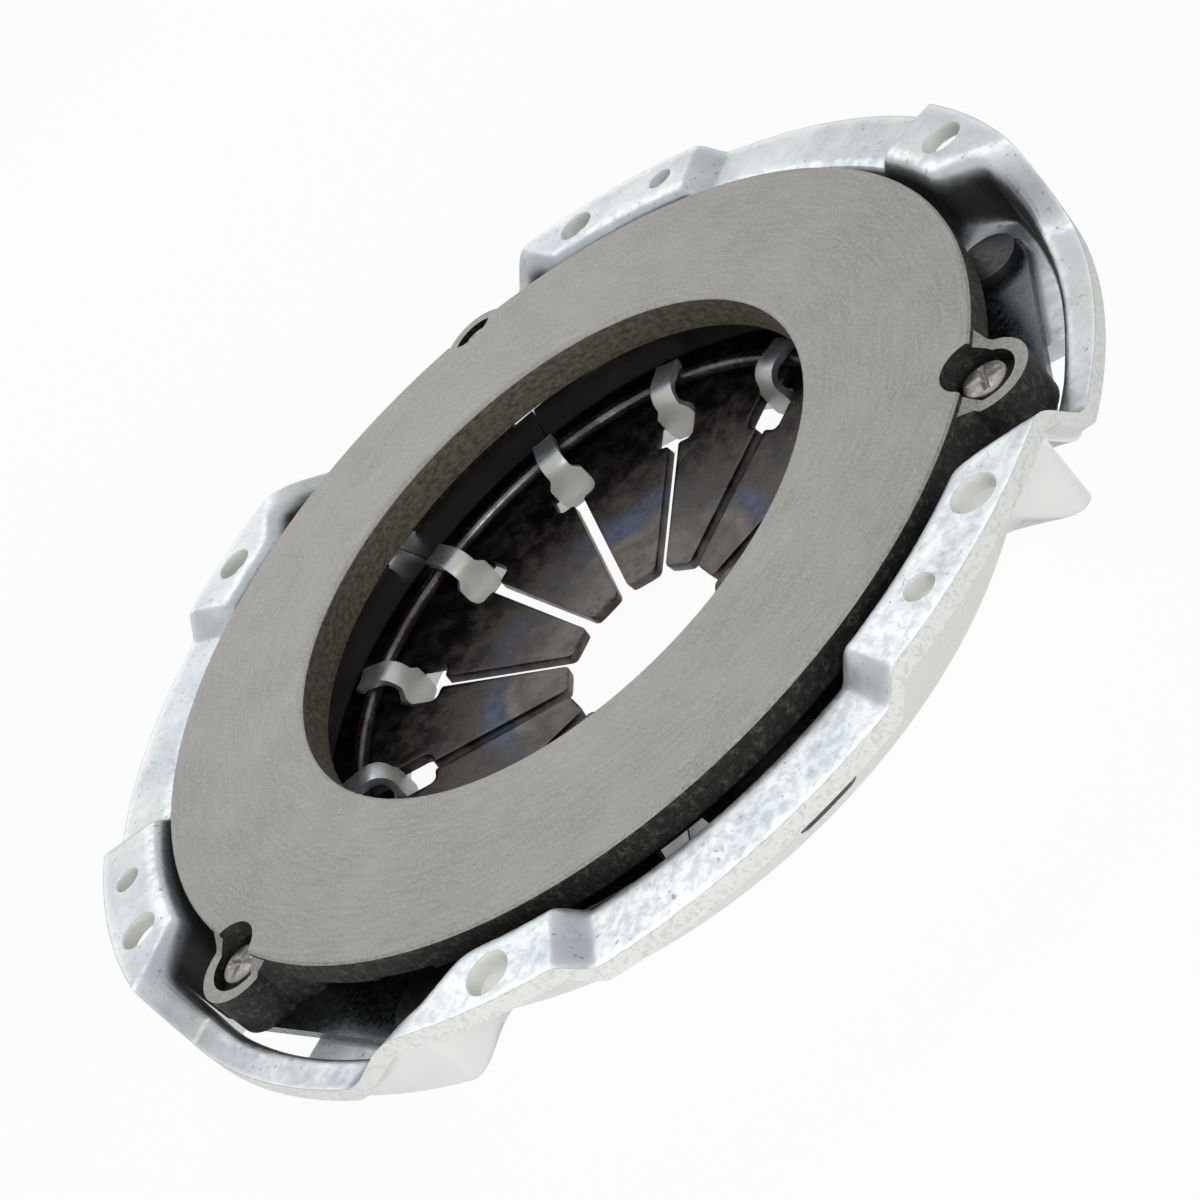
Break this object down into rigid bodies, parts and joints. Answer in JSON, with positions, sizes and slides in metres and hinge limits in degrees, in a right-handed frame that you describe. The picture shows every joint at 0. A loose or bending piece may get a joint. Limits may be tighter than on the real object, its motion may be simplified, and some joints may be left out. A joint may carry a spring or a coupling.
{
  "type": "clutch pressure plate",
  "caption": "Diaphragm-spring clutch pressure plate: stamped bolt-on cover, ground friction ring, lug straps and a ring of release fingers round an open centre.",
  "frame": {"origin": "centre of the bolt flange's mounting plane, on the clutch axis", "axes": "+Z along the clutch axis out of the friction face towards the flywheel, +X through the bolt hole of one double land"},
  "size_m": [0.252, 0.252, 0.0381],
  "materials": {
    "zinc_sheet": "zinc plated, satin",
    "cast_iron": "ground face, rough cast sides",
    "spring_steel": "oil blued",
    "wire": "bright drawn",
    "strap_steel": "blued",
    "rivet_steel": "plain"
  },
  "bodies": {
    "cover_body": {"cover": "zinc_sheet", "front_pivot_ring": "wire", "rear_pivot_ring": "wire", "cover_strap_rivets": "rivet_steel", "drive_strap_1_leaf_1": "strap_steel", "drive_strap_1_leaf_2": "strap_steel", "drive_strap_1_leaf_3": "strap_steel", "drive_strap_2_leaf_1": "strap_steel", "drive_strap_2_leaf_2": "strap_steel", "drive_strap_2_leaf_3": "strap_steel", "drive_strap_3_leaf_1": "strap_steel", "drive_strap_3_leaf_2": "strap_steel", "drive_strap_3_leaf_3": "strap_steel"},
    "plate_body": {"pressure_plate": "cast_iron", "lug_rivets": "rivet_steel"},
    "finger_body_01": {"spring_finger_01": "spring_steel"},
    "finger_body_02": {"spring_finger_02": "spring_steel"},
    "finger_body_03": {"spring_finger_03": "spring_steel"},
    "finger_body_04": {"spring_finger_04": "spring_steel"},
    "finger_body_05": {"spring_finger_05": "spring_steel"},
    "finger_body_06": {"spring_finger_06": "spring_steel"},
    "finger_body_07": {"spring_finger_07": "spring_steel"},
    "finger_body_08": {"spring_finger_08": "spring_steel"},
    "finger_body_09": {"spring_finger_09": "spring_steel"},
    "finger_body_10": {"spring_finger_10": "spring_steel"},
    "finger_body_11": {"spring_finger_11": "spring_steel"},
    "finger_body_12": {"spring_finger_12": "spring_steel"}
  },
  "joints": [
    {"name": "plate_lift", "type": "slide", "parent": "cover_body", "child": "plate_body", "axis": [0, 0, 1], "range_m": [-0.0033, 0], "stiffness_N_per_m": 200000, "springref_m": 0.003, "deforming": ["drive_strap_1_leaf_1", "drive_strap_1_leaf_2", "drive_strap_1_leaf_3", "drive_strap_2_leaf_1", "drive_strap_2_leaf_2", "drive_strap_2_leaf_3", "drive_strap_3_leaf_1", "drive_strap_3_leaf_2", "drive_strap_3_leaf_3"]},
    {"name": "finger_tilt_01", "type": "hinge", "parent": "cover_body", "child": "finger_body_01", "pos_m": [0.05904, 0.03761, -0.02682], "axis": [-0.5373, 0.8434, 0], "range_deg": [0, 9.6]},
    {"name": "finger_tilt_02", "type": "hinge", "parent": "cover_body", "child": "finger_body_02", "pos_m": [0.03232, 0.06209, -0.02682], "axis": [-0.887, 0.4617, 0], "range_deg": [0, 9.6]},
    {"name": "finger_tilt_03", "type": "hinge", "parent": "cover_body", "child": "finger_body_03", "pos_m": [-0.00305, 0.06993, -0.02682], "axis": [-0.999, -0.0436, 0], "range_deg": [0, 9.6]},
    {"name": "finger_tilt_04", "type": "hinge", "parent": "cover_body", "child": "finger_body_04", "pos_m": [-0.03761, 0.05904, -0.02682], "axis": [-0.8434, -0.5373, 0], "range_deg": [0, 9.6]},
    {"name": "finger_tilt_05", "type": "hinge", "parent": "cover_body", "child": "finger_body_05", "pos_m": [-0.06209, 0.03232, -0.02682], "axis": [-0.4617, -0.887, 0], "range_deg": [0, 9.6]},
    {"name": "finger_tilt_06", "type": "hinge", "parent": "cover_body", "child": "finger_body_06", "pos_m": [-0.06993, -0.00305, -0.02682], "axis": [0.0436, -0.999, 0], "range_deg": [0, 9.6]},
    {"name": "finger_tilt_07", "type": "hinge", "parent": "cover_body", "child": "finger_body_07", "pos_m": [-0.05904, -0.03761, -0.02682], "axis": [0.5373, -0.8434, 0], "range_deg": [0, 9.6]},
    {"name": "finger_tilt_08", "type": "hinge", "parent": "cover_body", "child": "finger_body_08", "pos_m": [-0.03232, -0.06209, -0.02682], "axis": [0.887, -0.4617, 0], "range_deg": [0, 9.6]},
    {"name": "finger_tilt_09", "type": "hinge", "parent": "cover_body", "child": "finger_body_09", "pos_m": [0.00305, -0.06993, -0.02682], "axis": [0.999, 0.0436, 0], "range_deg": [0, 9.6]},
    {"name": "finger_tilt_10", "type": "hinge", "parent": "cover_body", "child": "finger_body_10", "pos_m": [0.03761, -0.05904, -0.02682], "axis": [0.8434, 0.5373, 0], "range_deg": [0, 9.6]},
    {"name": "finger_tilt_11", "type": "hinge", "parent": "cover_body", "child": "finger_body_11", "pos_m": [0.06209, -0.03232, -0.02682], "axis": [0.4617, 0.887, 0], "range_deg": [0, 9.6]},
    {"name": "finger_tilt_12", "type": "hinge", "parent": "cover_body", "child": "finger_body_12", "pos_m": [0.06993, 0.00305, -0.02682], "axis": [-0.0436, 0.999, 0], "range_deg": [0, 9.6]}
  ],
  "couplings": [
    {"joint": "finger_tilt_01", "follows": "plate_lift", "rad_per_m": -50},
    {"joint": "finger_tilt_02", "follows": "plate_lift", "rad_per_m": -50},
    {"joint": "finger_tilt_03", "follows": "plate_lift", "rad_per_m": -50},
    {"joint": "finger_tilt_04", "follows": "plate_lift", "rad_per_m": -50},
    {"joint": "finger_tilt_05", "follows": "plate_lift", "rad_per_m": -50},
    {"joint": "finger_tilt_06", "follows": "plate_lift", "rad_per_m": -50},
    {"joint": "finger_tilt_07", "follows": "plate_lift", "rad_per_m": -50},
    {"joint": "finger_tilt_08", "follows": "plate_lift", "rad_per_m": -50},
    {"joint": "finger_tilt_09", "follows": "plate_lift", "rad_per_m": -50},
    {"joint": "finger_tilt_10", "follows": "plate_lift", "rad_per_m": -50},
    {"joint": "finger_tilt_11", "follows": "plate_lift", "rad_per_m": -50},
    {"joint": "finger_tilt_12", "follows": "plate_lift", "rad_per_m": -50}
  ]
}
